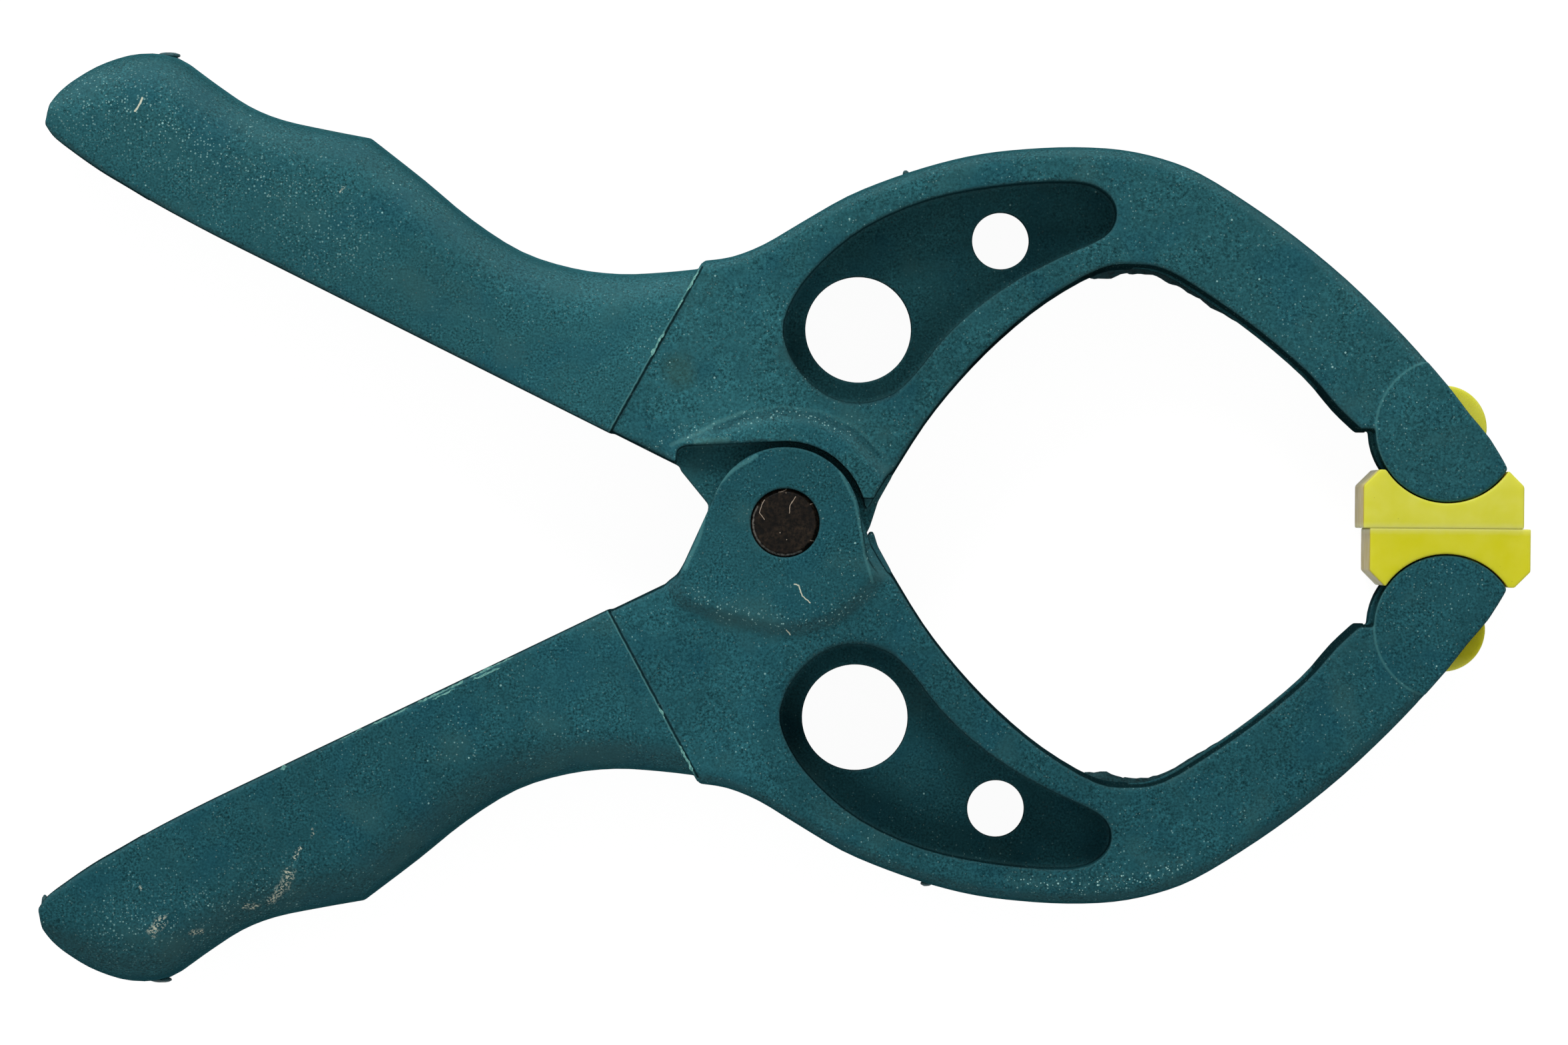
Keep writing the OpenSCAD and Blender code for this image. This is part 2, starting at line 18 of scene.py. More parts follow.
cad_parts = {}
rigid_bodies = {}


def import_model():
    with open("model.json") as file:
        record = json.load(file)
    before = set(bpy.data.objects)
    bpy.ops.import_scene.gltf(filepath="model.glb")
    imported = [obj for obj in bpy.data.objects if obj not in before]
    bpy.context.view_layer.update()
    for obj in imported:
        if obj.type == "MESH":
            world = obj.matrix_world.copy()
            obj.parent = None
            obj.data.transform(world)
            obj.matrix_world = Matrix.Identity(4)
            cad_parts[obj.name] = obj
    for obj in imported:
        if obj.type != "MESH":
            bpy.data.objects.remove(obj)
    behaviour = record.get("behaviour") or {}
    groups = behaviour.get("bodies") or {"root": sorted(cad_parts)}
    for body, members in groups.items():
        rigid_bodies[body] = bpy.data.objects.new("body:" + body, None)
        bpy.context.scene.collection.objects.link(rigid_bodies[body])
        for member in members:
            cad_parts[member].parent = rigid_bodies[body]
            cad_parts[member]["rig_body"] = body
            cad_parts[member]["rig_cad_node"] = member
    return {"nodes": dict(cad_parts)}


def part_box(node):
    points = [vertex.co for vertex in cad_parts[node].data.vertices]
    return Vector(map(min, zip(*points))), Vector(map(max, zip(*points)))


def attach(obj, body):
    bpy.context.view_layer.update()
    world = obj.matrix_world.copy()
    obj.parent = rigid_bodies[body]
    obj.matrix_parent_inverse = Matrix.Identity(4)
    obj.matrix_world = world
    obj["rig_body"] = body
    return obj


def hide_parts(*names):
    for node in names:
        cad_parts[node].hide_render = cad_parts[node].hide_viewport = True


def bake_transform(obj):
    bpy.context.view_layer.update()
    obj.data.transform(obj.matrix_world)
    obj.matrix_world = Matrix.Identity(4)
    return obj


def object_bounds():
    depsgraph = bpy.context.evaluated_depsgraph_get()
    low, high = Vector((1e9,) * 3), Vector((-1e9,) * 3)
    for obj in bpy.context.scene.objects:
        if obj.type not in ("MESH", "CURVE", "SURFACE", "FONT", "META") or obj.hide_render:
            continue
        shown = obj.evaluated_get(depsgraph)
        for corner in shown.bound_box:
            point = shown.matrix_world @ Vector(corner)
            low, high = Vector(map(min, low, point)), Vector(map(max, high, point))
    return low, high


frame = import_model()
cad_low, cad_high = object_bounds()
mm = 0.001
MID_LEVEL = 7.5 * mm
TOP_LEVEL = 9 * mm
ARM_SIDES = (("upper", 1), ("lower", -1))
print("solids:", ", ".join(sorted(frame["nodes"])))

# %% [markdown]
# ## The camera
# The clamp is seen from straight above, from far enough away that its sides hardly show.
# A long lens gives that flat look. The frame is placed by where the pivot pin lands in it, so
# the camera stays right whatever else changes.

# %% Camera
IMAGE_W, IMAGE_H = 2353, 1568
PIXELS_PER_MM = 20
PIVOT_PIXEL = (1178.1, 784.6)
CAMERA_HEIGHT = 920 * mm
CAMERA_TURN = 0.5
SENSOR_W = 36

camera_data = bpy.data.cameras.new("camera")
camera = bpy.data.objects.new("camera", camera_data)
bpy.context.scene.collection.objects.link(camera)
bpy.context.scene.camera = camera
camera.location = (0, 0, cad_high[2] + CAMERA_HEIGHT)
camera.rotation_euler = (0, 0, math.radians(CAMERA_TURN))
camera_data.sensor_width = SENSOR_W
camera_data.lens = SENSOR_W * CAMERA_HEIGHT / (IMAGE_W / PIXELS_PER_MM * mm)
camera_data.shift_x = (IMAGE_W / 2 - PIVOT_PIXEL[0]) / IMAGE_W
camera_data.shift_y = (PIVOT_PIXEL[1] - IMAGE_H / 2) / IMAGE_W
camera_data.clip_end = 10
bpy.context.scene.view_settings.view_transform = "Standard"
print("lens:", round(camera_data.lens, 1), "mm")

# %% [markdown]
# ## Materials out of nodes
# Every finish here is worked out by nodes from the piece's own Object coordinates, which are
# metres, so a noise with a scale of 1000 has grains about a millimetre wide. These helpers
# keep the node trees short to write: `node` adds one node, sets its inputs and returns its
# first output, so that one node can be passed straight into the next.


# %% Node helpers
def new_material(name):
    material = bpy.data.materials.new(name)
    material.use_nodes = True
    return material, material.node_tree, material.node_tree.nodes["Principled BSDF"]


def node(tree, kind, inputs=None, output=0, **settings):
    made = tree.nodes.new("ShaderNode" + kind)
    for key, value in settings.items():
        setattr(made, key, value)
    for key, value in (inputs or {}).items():
        if isinstance(value, bpy.types.NodeSocket):
            tree.links.new(value, made.inputs[key])
        else:
            made.inputs[key].default_value = value
    return made.outputs[output]


def math_node(tree, operation, a, b=0.0):
    return node(tree, "Math", {0: a, 1: b}, operation=operation)


def ramp(tree, value, start, end, low=0.0, high=1.0):
    """value between start and end becomes low to high, clamped."""
    return node(tree, "MapRange", {"Value": value, "From Min": start, "From Max": end,
                                   "To Min": low, "To Max": high})


def mix(tree, share, a, b, blend="MIX"):
    made = tree.nodes.new("ShaderNodeMix")
    made.data_type = "RGBA"
    made.blend_type = blend
    for key, value in ((0, share), (6, a), (7, b)):
        if isinstance(value, bpy.types.NodeSocket):
            tree.links.new(value, made.inputs[key])
        else:
            made.inputs[key].default_value = value
    return made.outputs[2]


def grey(tree, value):
    return node(tree, "CombineColor", {0: value, 1: value, 2: value})


def noise(tree, coords, scale, detail=2.0, roughness=0.5):
    return node(tree, "TexNoise", {"Vector": coords, "Scale": scale, "Detail": detail,
                                   "Roughness": roughness})


def specks(tree, coords, spacing, radius, share):
    """1 on small round specks, in about that share of cells spacing apart, and 0 elsewhere."""
    cells = tree.nodes.new("ShaderNodeTexVoronoi")
    tree.links.new(coords, cells.inputs["Vector"])
    cells.inputs["Scale"].default_value = 1 / spacing
    pick = node(tree, "SeparateColor", {"Color": cells.outputs["Color"]})
    present = math_node(tree, "LESS_THAN", pick, share)
    size = node(tree, "SeparateColor", {"Color": cells.outputs["Color"]}, output=1)
    reach = ramp(tree, size, 0, 1, 0.4 * radius / spacing, radius / spacing)
    near = math_node(tree, "LESS_THAN", cells.outputs["Distance"], reach)
    return math_node(tree, "MULTIPLY", near, present)


def rgb(red, green, blue):
    """A colour given as it looks on a screen, 0 to 255, as the linear numbers that nodes use."""
    return tuple((c / 255 / 12.92) if c < 11 else ((c / 255 + 0.055) / 1.055) ** 2.4
                 for c in (red, green, blue)) + (1.0,)


# %% [markdown]
# ## Floor and light
# A plain pale sweep under plain soft light: one broad lamp from the top left draws the shapes,
# and an even pale surround fills the shadows. Seen by the camera the floor glows faintly, so
# that it comes out white, but it still takes the clamp's soft shadow.

# %% Floor
FLOOR_DROP = 0.02 * mm
PAPER = (0.6, 0.6, 0.6, 1)
PAPER_SEEN = (0.12, 0.12, 0.12, 1)
PAPER_GLOW = 0.96

bpy.ops.mesh.primitive_plane_add(size=4, location=(0, 0, -FLOOR_DROP))
floor = bpy.context.object
floor.name = "floor"
bpy.ops.object.transform_apply(location=True, rotation=True, scale=True)
material = bpy.data.materials.new("pale_floor")
material.use_nodes = True
tree = material.node_tree
tree.nodes.clear()
paper = node(tree, "BsdfDiffuse", {"Color": PAPER})
seen_paper = node(tree, "BsdfDiffuse", {"Color": PAPER_SEEN})
glow = node(tree, "Emission", {"Color": (1, 1, 1, 1), "Strength": PAPER_GLOW})
seen = node(tree, "AddShader", {0: seen_paper, 1: glow})
path = tree.nodes.new("ShaderNodeLightPath")
direct = math_node(tree, "MAXIMUM", path.outputs["Is Camera Ray"], path.outputs["Is Glossy Ray"])
direct = math_node(tree, "MAXIMUM", direct, path.outputs["Is Transmission Ray"])
surface = node(tree, "MixShader", {0: direct, 1: paper, 2: seen})
out = tree.nodes.new("ShaderNodeOutputMaterial")
tree.links.new(surface, out.inputs["Surface"])
floor.data.materials.append(material)

# %% Light
FILL_STRENGTH = 0.53
KEY_PLACE = (-0.06, 0.30, 0.26)
KEY_SIZE = 0.20
KEY_POWER = 1.12

world = bpy.data.worlds.new("surround")
bpy.context.scene.world = world
world.use_nodes = True
tree = world.node_tree
tree.nodes.clear()
fill = node(tree, "Background", {"Color": (1, 1, 1, 1), "Strength": FILL_STRENGTH})
white = node(tree, "Background", {"Color": (1, 1, 1, 1), "Strength": 1.0})
path = tree.nodes.new("ShaderNodeLightPath")
direct = math_node(tree, "MAXIMUM", path.outputs["Is Camera Ray"],
                   path.outputs["Is Transmission Ray"])
surface = node(tree, "MixShader", {0: direct, 1: fill, 2: white})
out = tree.nodes.new("ShaderNodeOutputWorld")
tree.links.new(surface, out.inputs["Surface"])


def lamp(name, place, size, power):
    data = bpy.data.lights.new(name, "AREA")
    data.shape = "DISK"
    data.size = size
    data.energy = power
    made = bpy.data.objects.new(name, data)
    bpy.context.scene.collection.objects.link(made)
    made.location = place
    made.rotation_euler = (-Vector(place)).to_track_quat("-Z", "Y").to_euler()
    made.visible_camera = False
    return made


lamp("key", KEY_PLACE, KEY_SIZE, KEY_POWER)

# %% [markdown]
# ## Soft edges
# A moulded piece has no truly sharp edge: the mould's corners are a few tenths of a millimetre
# round, and they catch the light. A bevel could round them, but the solids have hundreds of
# tiny edges where curved forms meet, on which a bevel tears. So each solid is copied, turned
# into an even fine mesh, relaxed a little, and thinned again where it is flat.


# %% Rounding a copy of a solid
def only(*objects):
    bpy.ops.object.select_all(action="DESELECT")
    for o in objects:
        o.select_set(True)
    bpy.context.view_layer.objects.active = objects[0]


def apply_modifier(piece, kind, **settings):
    only(piece)
    modifier = piece.modifiers.new(kind.lower(), kind)
    for key, value in settings.items():
        setattr(modifier, key, value)
    bpy.ops.object.modifier_apply(modifier=modifier.name)


def copy_of_solid(node_name, name):
    only(frame["nodes"][node_name])
    bpy.ops.object.duplicate()
    piece = bpy.context.object
    bpy.ops.object.parent_clear(type="CLEAR_KEEP_TRANSFORM")
    piece.name = piece.data.name = name
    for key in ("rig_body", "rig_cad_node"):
        del piece[key]
    bpy.ops.mesh.customdata_custom_splitnormals_clear()
    piece.data.materials.clear()
    apply_modifier(piece, "WELD", merge_threshold=0.001 * mm)
    return piece


def soften(piece, grid, passes):
    apply_modifier(piece, "REMESH", mode="VOXEL", voxel_size=grid)
    apply_modifier(piece, "SMOOTH", factor=0.5, iterations=passes)


def thin_out(piece, triangles):
    faces = 2 * len(piece.data.polygons)
    if faces > triangles:
        apply_modifier(piece, "DECIMATE", ratio=triangles / faces)
    only(piece)
    bpy.ops.object.shade_smooth()
    apply_modifier(piece, "WEIGHTED_NORMAL", mode="FACE_AREA", weight=50)
    print(piece.name, len(piece.data.polygons), "faces")


# %% [markdown]
# ## Marks on a surface
# Dust, scuffs and stray fibres lie where handling put them. Each is drawn as a stroke: a mask
# that is 1 near a line of points and fades to 0 at its width. The place is measured in plan,
# and the coordinates are first shaken by a noise, so that the stroke has no straight edge.


# %% Strokes
def plan_of(tree, coords, shake=0.0, size=0.5 * mm):
    """The place in plan, shaken by up to shake."""
    flat = node(tree, "VectorMath", {0: coords, 1: (1, 1, 0)}, operation="MULTIPLY")
    if not shake:
        return flat
    wobble = tree.nodes.new("ShaderNodeTexNoise")
    tree.links.new(coords, wobble.inputs["Vector"])
    wobble.inputs["Scale"].default_value = 1 / size
    centred = node(tree, "VectorMath", {0: wobble.outputs["Color"], 1: (0.5, 0.5, 0.5)},
                   operation="SUBTRACT")
    moved = node(tree, "VectorMath", {0: centred, 1: (2 * shake, 2 * shake, 0)},
                 operation="MULTIPLY")
    return node(tree, "VectorMath", {0: flat, 1: moved}, operation="ADD")


def stroke(tree, plan, points, width, core=0.0):
    """1 within core of the line through points, given in millimetres, and 0 beyond width."""
    nearest = None
    for start, end in zip(points, points[1:]):
        a = Vector((start[0], start[1], 0)) * mm
        run = Vector((end[0], end[1], 0)) * mm - a
        from_a = node(tree, "VectorMath", {0: plan, 1: a}, operation="SUBTRACT")
        share = node(tree, "VectorMath", {0: from_a, 1: run / run.length_squared}, output=1,
                     operation="DOT_PRODUCT")
        share = node(tree, "Clamp", {0: share})
        along = node(tree, "VectorMath", {0: run, 3: share}, operation="SCALE")
        off = node(tree, "VectorMath", {0: from_a, 1: along}, operation="SUBTRACT")
        away = node(tree, "VectorMath", {0: off}, output=1, operation="LENGTH")
        nearest = away if nearest is None else math_node(tree, "MINIMUM", nearest, away)
    return ramp(tree, nearest, core * mm, width * mm, 1, 0)


def arc(radius, start, end, steps=6):
    """Points on an arc round the pivot, in millimetres and degrees."""
    angles = [math.radians(start + (end - start) * i / steps) for i in range(steps + 1)]
    return [(radius * math.cos(a), radius * math.sin(a)) for a in angles]


# %% [markdown]
# ## The arms' plastic
# Its colour is built up in layers: first the moulded skin, then painted highlight and painted
# shade where the shape would catch or lose the light, then what use leaves behind, with painted
# highlight and shadow lines. Each layer is a function that takes the colour so far and returns the
# next one. The places that the layers share are worked out first: how far a point is from the
# middle plane, whether it is on a face or on the top side, and whether it is on the web, which is
# the thin floor of the pockets.


# %% Places on an arm
def times(tree, *values):
    """The product of the values."""
    result = values[0]
    for other in values[1:]:
        result = math_node(tree, "MULTIPLY", result, other)
    return result


def strongest(tree, masks):
    result = masks[0]
    for other in masks[1:]:
        result = math_node(tree, "MAXIMUM", result, other)
    return result


def part_of(tree, vector, axis):
    """One number of a vector: axis is 0 for x, 1 for y and 2 for z."""
    return node(tree, "SeparateXYZ", {0: vector}, output=axis)


def surface_normal(tree):
    return tree.nodes.new("ShaderNodeNewGeometry").outputs["Normal"]


def distance(tree, plan, x, y):
    """How far a place in plan is from x and y, which are in millimetres."""
    return node(tree, "VectorMath", {0: plan, 1: (x * mm, y * mm, 0)}, output=1,
                operation="DISTANCE")


def arm_places(tree, up, offset):
    """up is 1 or -1, away from the other arm. offset moves the grain, so that no two match."""
    own = tree.nodes.new("ShaderNodeTexCoord").outputs["Object"]
    level = part_of(tree, own, 2)
    depth = math_node(tree, "ABSOLUTE", math_node(tree, "SUBTRACT", level, MID_LEVEL))
    return SimpleNamespace(
        up=up, own=own, plan=plan_of(tree, own), depth=depth, normal=surface_normal(tree),
        coords=node(tree, "Mapping", {"Vector": own, "Location": offset}),
        web=ramp(tree, depth, 1.3 * mm, 1.9 * mm, 1, 0),
        on_face=math_node(tree, "GREATER_THAN", depth, 6.4 * mm),
        top_side=math_node(tree, "GREATER_THAN", level, TOP_LEVEL))


# %% The moulded skin
GRAIN = 0.17 * mm


def moulded_skin(tree, at, colour):
    """The plastic as it leaves the mould, and its noises from the finest to the broadest. It is
    paler towards the root of the handle, and the web has a weaker grain. The web is also painted
    lighter, painted light that lifts the shade on the pockets' floors."""
    grain = noise(tree, at.coords, 1 / GRAIN, 2, 0.6)
    mottle = noise(tree, at.coords, 1 / (0.8 * mm), 3, 0.6)
    cloud = noise(tree, at.coords, 1 / (7 * mm), 3, 0.55)
    patches = ramp(tree, noise(tree, at.coords, 1 / (2.4 * mm), 2, 0.6), 0.36, 0.6, 0.45, 1)
    grained = times(tree, ramp(tree, grain, 0.3, 0.7, -0.66, 0.66), patches,
                    ramp(tree, at.web, 0, 1, 1, 0.8))
    by_root = ramp(tree, distance(tree, at.plan, -9, 11 * at.up), 7 * mm, 16 * mm, 1.2, 1)
    shade = times(tree, math_node(tree, "ADD", grained, 1.0),
                  ramp(tree, mottle, 0.3, 0.7, 0.92, 1.08), ramp(tree, cloud, 0.3, 0.7, 0.9, 1.1),
                  ramp(tree, at.web, 0, 1, 1, 1.16), by_root)
    body = mix(tree, 1.0, colour, grey(tree, shade), "MULTIPLY")
    blue = ramp(tree, noise(tree, at.coords, 1 / (4 * mm), 2, 0.5), 0.5, 0.7, 0, 0.3)
    body = mix(tree, blue, body, rgb(20, 74, 90))
    olive = ramp(tree, noise(tree, at.coords, 1 / (5 * mm), 2, 0.5), 0.42, 0.3, 0, 0.4)
    return mix(tree, olive, body, rgb(52, 92, 94)), grain, mottle, cloud


# %% [markdown]
# ## Painted highlights and shade
# Edges are painted a little lighter, a painted highlight where a rounded edge would catch the
# light. Their mask comes from comparing the true normal with one taken over a small radius, since
# the two differ only near an edge. The rounded rims, which tilt between a face and a side, are
# painted a little greyer, a painted sheen with a little dust. The walls that face the other arm
# are painted dark, painted shade, and so are the walls of the pockets and the part of each
# pocket's floor that the lamp reaches.

# %% Edges, rims and walls
JAW_X, JAW_Y = 49.7, 7.4
JAW_DISC_R = 5.4 * mm
THROAT_MIDDLE_X = 25
POCKET = [([(5.2, 15.2), (11, 18.2)], 7.1), ([(12, 19.6), (17.6, 21.6)], 4.9),
          ([(17.6, 21.6), (22, 22.6)], 4.0)]


def edge_mask(tree, radius):
    rounded = node(tree, "Bevel", {"Radius": radius}, samples=5)
    alike = node(tree, "VectorMath", {0: rounded, 1: surface_normal(tree)}, output=1,
                 operation="DOT_PRODUCT")
    return math_node(tree, "SUBTRACT", 1.0, alike)


def edge_highlights_and_sheen(tree, at, body):
    # Painted highlight: the edges and the jaw disc's rim are painted lighter, where a rounded edge
    # would catch the light.
    past_rim = math_node(tree, "SUBTRACT", distance(tree, at.plan, JAW_X, JAW_Y * at.up),
                         JAW_DISC_R)
    disc_rim_highlight = ramp(tree, math_node(tree, "ABSOLUTE", past_rim), 0.04 * mm, 0.13 * mm, 1, 0)
    edges = ramp(tree, edge_mask(tree, 0.16 * mm), 0.012, 0.12, 0, 0.55)
    edges = strongest(tree, [edges, times(tree, disc_rim_highlight, at.on_face, 0.5)])
    body = mix(tree, edges, body, rgb(72, 128, 130))
    # The tilted rims are painted greyer, a painted sheen with a little dust.
    upright = math_node(tree, "ABSOLUTE", part_of(tree, at.normal, 2))
    rim = times(tree, ramp(tree, upright, 0.985, 0.8), ramp(tree, upright, 0.15, 0.5), 0.14)
    return mix(tree, rim, body, rgb(84, 116, 118))


def painted_wall_and_floor_shade(tree, at, body, pocket_floor_shade):
    """The walls that face the other arm and the pocket walls are painted dark, painted shade. The
    last argument gives where shade is painted on each pocket's floor, on the part that the lamp
    reaches: the points of a line in a pocket, and how dark it is there.
    """
    # Painted shade: the walls that face the other arm are painted nearly black.
    inward = ramp(tree, times(tree, part_of(tree, at.normal, 1), -at.up), 0.1, 0.45)
    steep = ramp(tree, math_node(tree, "ABSOLUTE", part_of(tree, at.normal, 2)), 0.2, 0.55, 1, 0)
    in_throat = ramp(tree, distance(tree, at.plan, THROAT_MIDDLE_X, 0), 22.4 * mm, 23.2 * mm, 1, 0)
    by_handle = ramp(tree, part_of(tree, at.own, 0), -4 * mm, -8 * mm)
    inner_wall = times(tree, inward, steep, strongest(tree, [in_throat, by_handle]), 0.75)
    body = mix(tree, inner_wall, body, rgb(4, 12, 14))

    # Painted shade on the pocket walls.
    pocket = strongest(tree, [
        stroke(tree, at.plan, [(x, y * at.up) for x, y in line], width, width - 0.1)
        for line, width in POCKET])
    pocket = times(tree, pocket, ramp(tree, at.depth, 6.3 * mm, 6.75 * mm, 1, 0))
    wall = times(tree, pocket, math_node(tree, "SUBTRACT", 1.0, at.web), 0.35)
    body = mix(tree, wall, body, rgb(8, 26, 30))
    # Painted shade on the part of each pocket's floor that the lamp reaches.
    points, share = pocket_floor_shade
    floor_shade_mask = times(tree, stroke(tree, at.plan, points, 7.0, 2.2), pocket)
    shade = ramp(tree, floor_shade_mask, 0, 1, 1, 1 - share)
    return mix(tree, 1.0, body, grey(tree, shade), "MULTIPLY")


# %% [markdown]
# ## Painted lines, and what use leaves behind
# Fine lines of painted highlight and painted shadow run along the steps, the bosses and the ear,
# where an edge would catch the light and a wall would be in shade. Pale dust lies in a scatter
# everywhere, and gathers in the places listed for each arm. Scuffs are strokes torn up by a noise,
# and stray fibres are thin whole ones. They are only on the side that faces up.


# %% Lines, dust and scuffs
def with_lines(tree, at, body, lines):
    plan = plan_of(tree, at.own, 0.06 * mm, 0.5 * mm)
    for points, width, share, colour in lines:
        line = times(tree, stroke(tree, plan, points, width, 0.4 * width), at.on_face, share)
        body = mix(tree, line, body, colour)
    return body


def with_dust(tree, at, body, mottle, cloud, dusty):
    """Returns the colour and the mask of the dust, which also stands out a little."""
    plan = plan_of(tree, at.own, 0.5 * mm, 0.7 * mm)
    near = times(tree, strongest(tree, [times(tree, stroke(tree, plan, points, width), share)
                                        for points, width, share in dusty]), at.top_side)
    gather = strongest(tree, [ramp(tree, cloud, 0.4, 0.66, 0.2, 0.7), near])
    gather = times(tree, gather, ramp(tree, at.web, 0, 1, 1, 0.35))
    dust = strongest(tree, [
        times(tree, specks(tree, at.coords, 1.1 * mm, 0.085 * mm, 0.35),
              ramp(tree, gather, 0.1, 1, 0.4, 1)),
        times(tree, specks(tree, at.coords, 0.4 * mm, 0.07 * mm, 0.45),
              ramp(tree, gather, 0.1, 1, 0.08, 0.5)),
        times(tree, specks(tree, at.coords, 0.3 * mm, 0.065 * mm, 0.5), gather, 0.55),
        times(tree, specks(tree, at.coords, 0.24 * mm, 0.08 * mm, 0.6), near)])
    film = times(tree, near, ramp(tree, mottle, 0.4, 0.65, 0, 0.12))
    body = mix(tree, film, body, rgb(92, 128, 124))
    return mix(tree, dust, body, rgb(160, 206, 202)), dust


def with_scuffs(tree, at, body, scuffs, fibres):
    rough_plan = plan_of(tree, at.own, 0.5 * mm, 0.7 * mm)
    fine_plan = plan_of(tree, at.own, 0.12 * mm, 0.6 * mm)
    torn = ramp(tree, noise(tree, at.coords, 1 / GRAIN, 2, 0.7), 0.5, 0.56)
    marks = [times(tree, stroke(tree, rough_plan, points, width), torn)
             for points, width in scuffs]
    marks += [stroke(tree, fine_plan, points, width, 0.6 * width) for points, width in fibres]
    return mix(tree, times(tree, strongest(tree, marks), at.top_side, 0.85), body,
               rgb(206, 208, 186))


# %% Arm plastic
def arm_plastic(name, up, offset, look):
    """look holds an arm's colour and its marks, as they are listed for each arm below."""
    material, tree, bsdf = new_material(name)
    at = arm_places(tree, up, offset)
    body, grain, mottle, cloud = moulded_skin(tree, at, look["colour"])
    body = edge_highlights_and_sheen(tree, at, body)
    pores = strongest(tree, [specks(tree, at.coords, 0.3 * mm, 0.08 * mm, 0.22),
                             specks(tree, at.coords, 1.5 * mm, 0.12 * mm, 0.3)])
    body = mix(tree, times(tree, pores, 0.6), body, rgb(9, 36, 42))
    body = painted_wall_and_floor_shade(tree, at, body, look["pocket_floor_shade"])
    body = with_lines(tree, at, body, look["lines"])
    body, dust = with_dust(tree, at, body, mottle, cloud, look["dusty"])
    body = with_scuffs(tree, at, body, look["scuffs"], look["fibres"])
    tree.links.new(body, bsdf.inputs["Base Color"])

    tree.links.new(ramp(tree, grain, 0.2, 0.8, 0.74, 0.95), bsdf.inputs["Roughness"])
    bsdf.inputs["Specular IOR Level"].default_value = 0.0
    height = math_node(tree, "ADD", grain, times(tree, dust, 0.6))
    height = math_node(tree, "SUBTRACT", height, times(tree, pores, 0.8))
    bump = node(tree, "Bump", {"Strength": 0.5, "Distance": 0.02 * mm, "Height": height})
    tree.links.new(bump, bsdf.inputs["Normal"])
    return material


# %% [markdown]
# ## The arms
# Both arms come out of the same kind of mould, and each has its own dusty places. The lower
# arm's colour is a touch darker, painted shade for the light falling off towards it. The marks
# are listed in millimetres. A mark has its points and a width, and the dusty places and lines also
# a share from 0 to 1. The painted shade on each pocket's floor has its points and a share.


# %% The look of each arm
STEP_ENDS = (14.84, 0.1), (14.22, 14.4)
HANDLE_TURN = math.radians(26.1)


def on_handle(along, across, up):
    """A place on a handle in millimetres: along its inner edge, and across from it."""
    x = -along * math.cos(HANDLE_TURN) + across * math.sin(HANDLE_TURN)
    y = along * math.sin(HANDLE_TURN) + across * math.cos(HANDLE_TURN)
    return x, y * up


def step_highlight_and_shadow(up):
    """A painted highlight and a painted shadow along the step where the handle begins: the pale
    line where the proud edge would catch the light, and the dark one where its low wall would be
    in shade.
    """
    pale = [on_handle(along + 0.07, across, up) for along, across in STEP_ENDS]
    dark = [on_handle(along - 0.06, across, up) for along, across in STEP_ENDS]
    return [(pale, 0.09, 0.5, rgb(90, 145, 145)), (dark, 0.13, 0.85, rgb(6, 22, 26))]


UPPER_LOOK = {
    "colour": rgb(38, 84, 90),
    # Painted shade on the lit part of the pocket's floor: its line and how dark it is.
    "pocket_floor_shade": ([(2.5, 10.2), (5.5, 9.2), (8.5, 10.6), (11.8, 12.9), (17.6, 17.2), (18.4, 17.8)],
                0.52),
    "dusty": [
        (arc(8.1, 55, 115), 0.5, 0.6),
        ([(-10.5, 5.4), (-8.6, 6.6), (-5.5, 7.6)], 0.5, 0.7),
        ([(-53, 32), (-47, 29.5), (-40, 26), (-34, 21)], 4.5, 0.45)],
    "scuffs": [([(-33.5, 24.6), (-33.3, 24.9)], 0.15)],
    "fibres": [([(-49.05, 30.5), (-48.5, 31.5)], 0.09)],
    "lines": step_highlight_and_shadow(1) + [
        # The boss's lines: the pale ones are painted highlight and the dark one painted shadow,
        # along its foot and ridge.
        ([(-8.6, 5.8), (-6.5, 6.7), (-5.2, 7.5), (-3.3, 8.25)], 0.22, 0.3, rgb(84, 134, 134)),
        ([(-3.3, 8.25), (-0.4, 8.75), (2.5, 8.4), (5.3, 7.3), (7.6, 4.9)], 0.2, 0.12,
         rgb(84, 134, 134)),
        ([(-5.2, 7.0), (-3.2, 7.85), (-0.4, 8.35), (2.4, 8.0), (5.0, 6.9), (7.0, 5.2)], 0.42, 0.4,
         rgb(12, 46, 54)),
        ([(-6.7, 6.0), (-5.2, 6.1), (-4.4, 6.2)], 0.36, 0.25, rgb(96, 146, 140)),
        ([(-8.1, 11.6), (-8.0, 11.2)], 1.6, 0.3, rgb(58, 78, 58))],
}
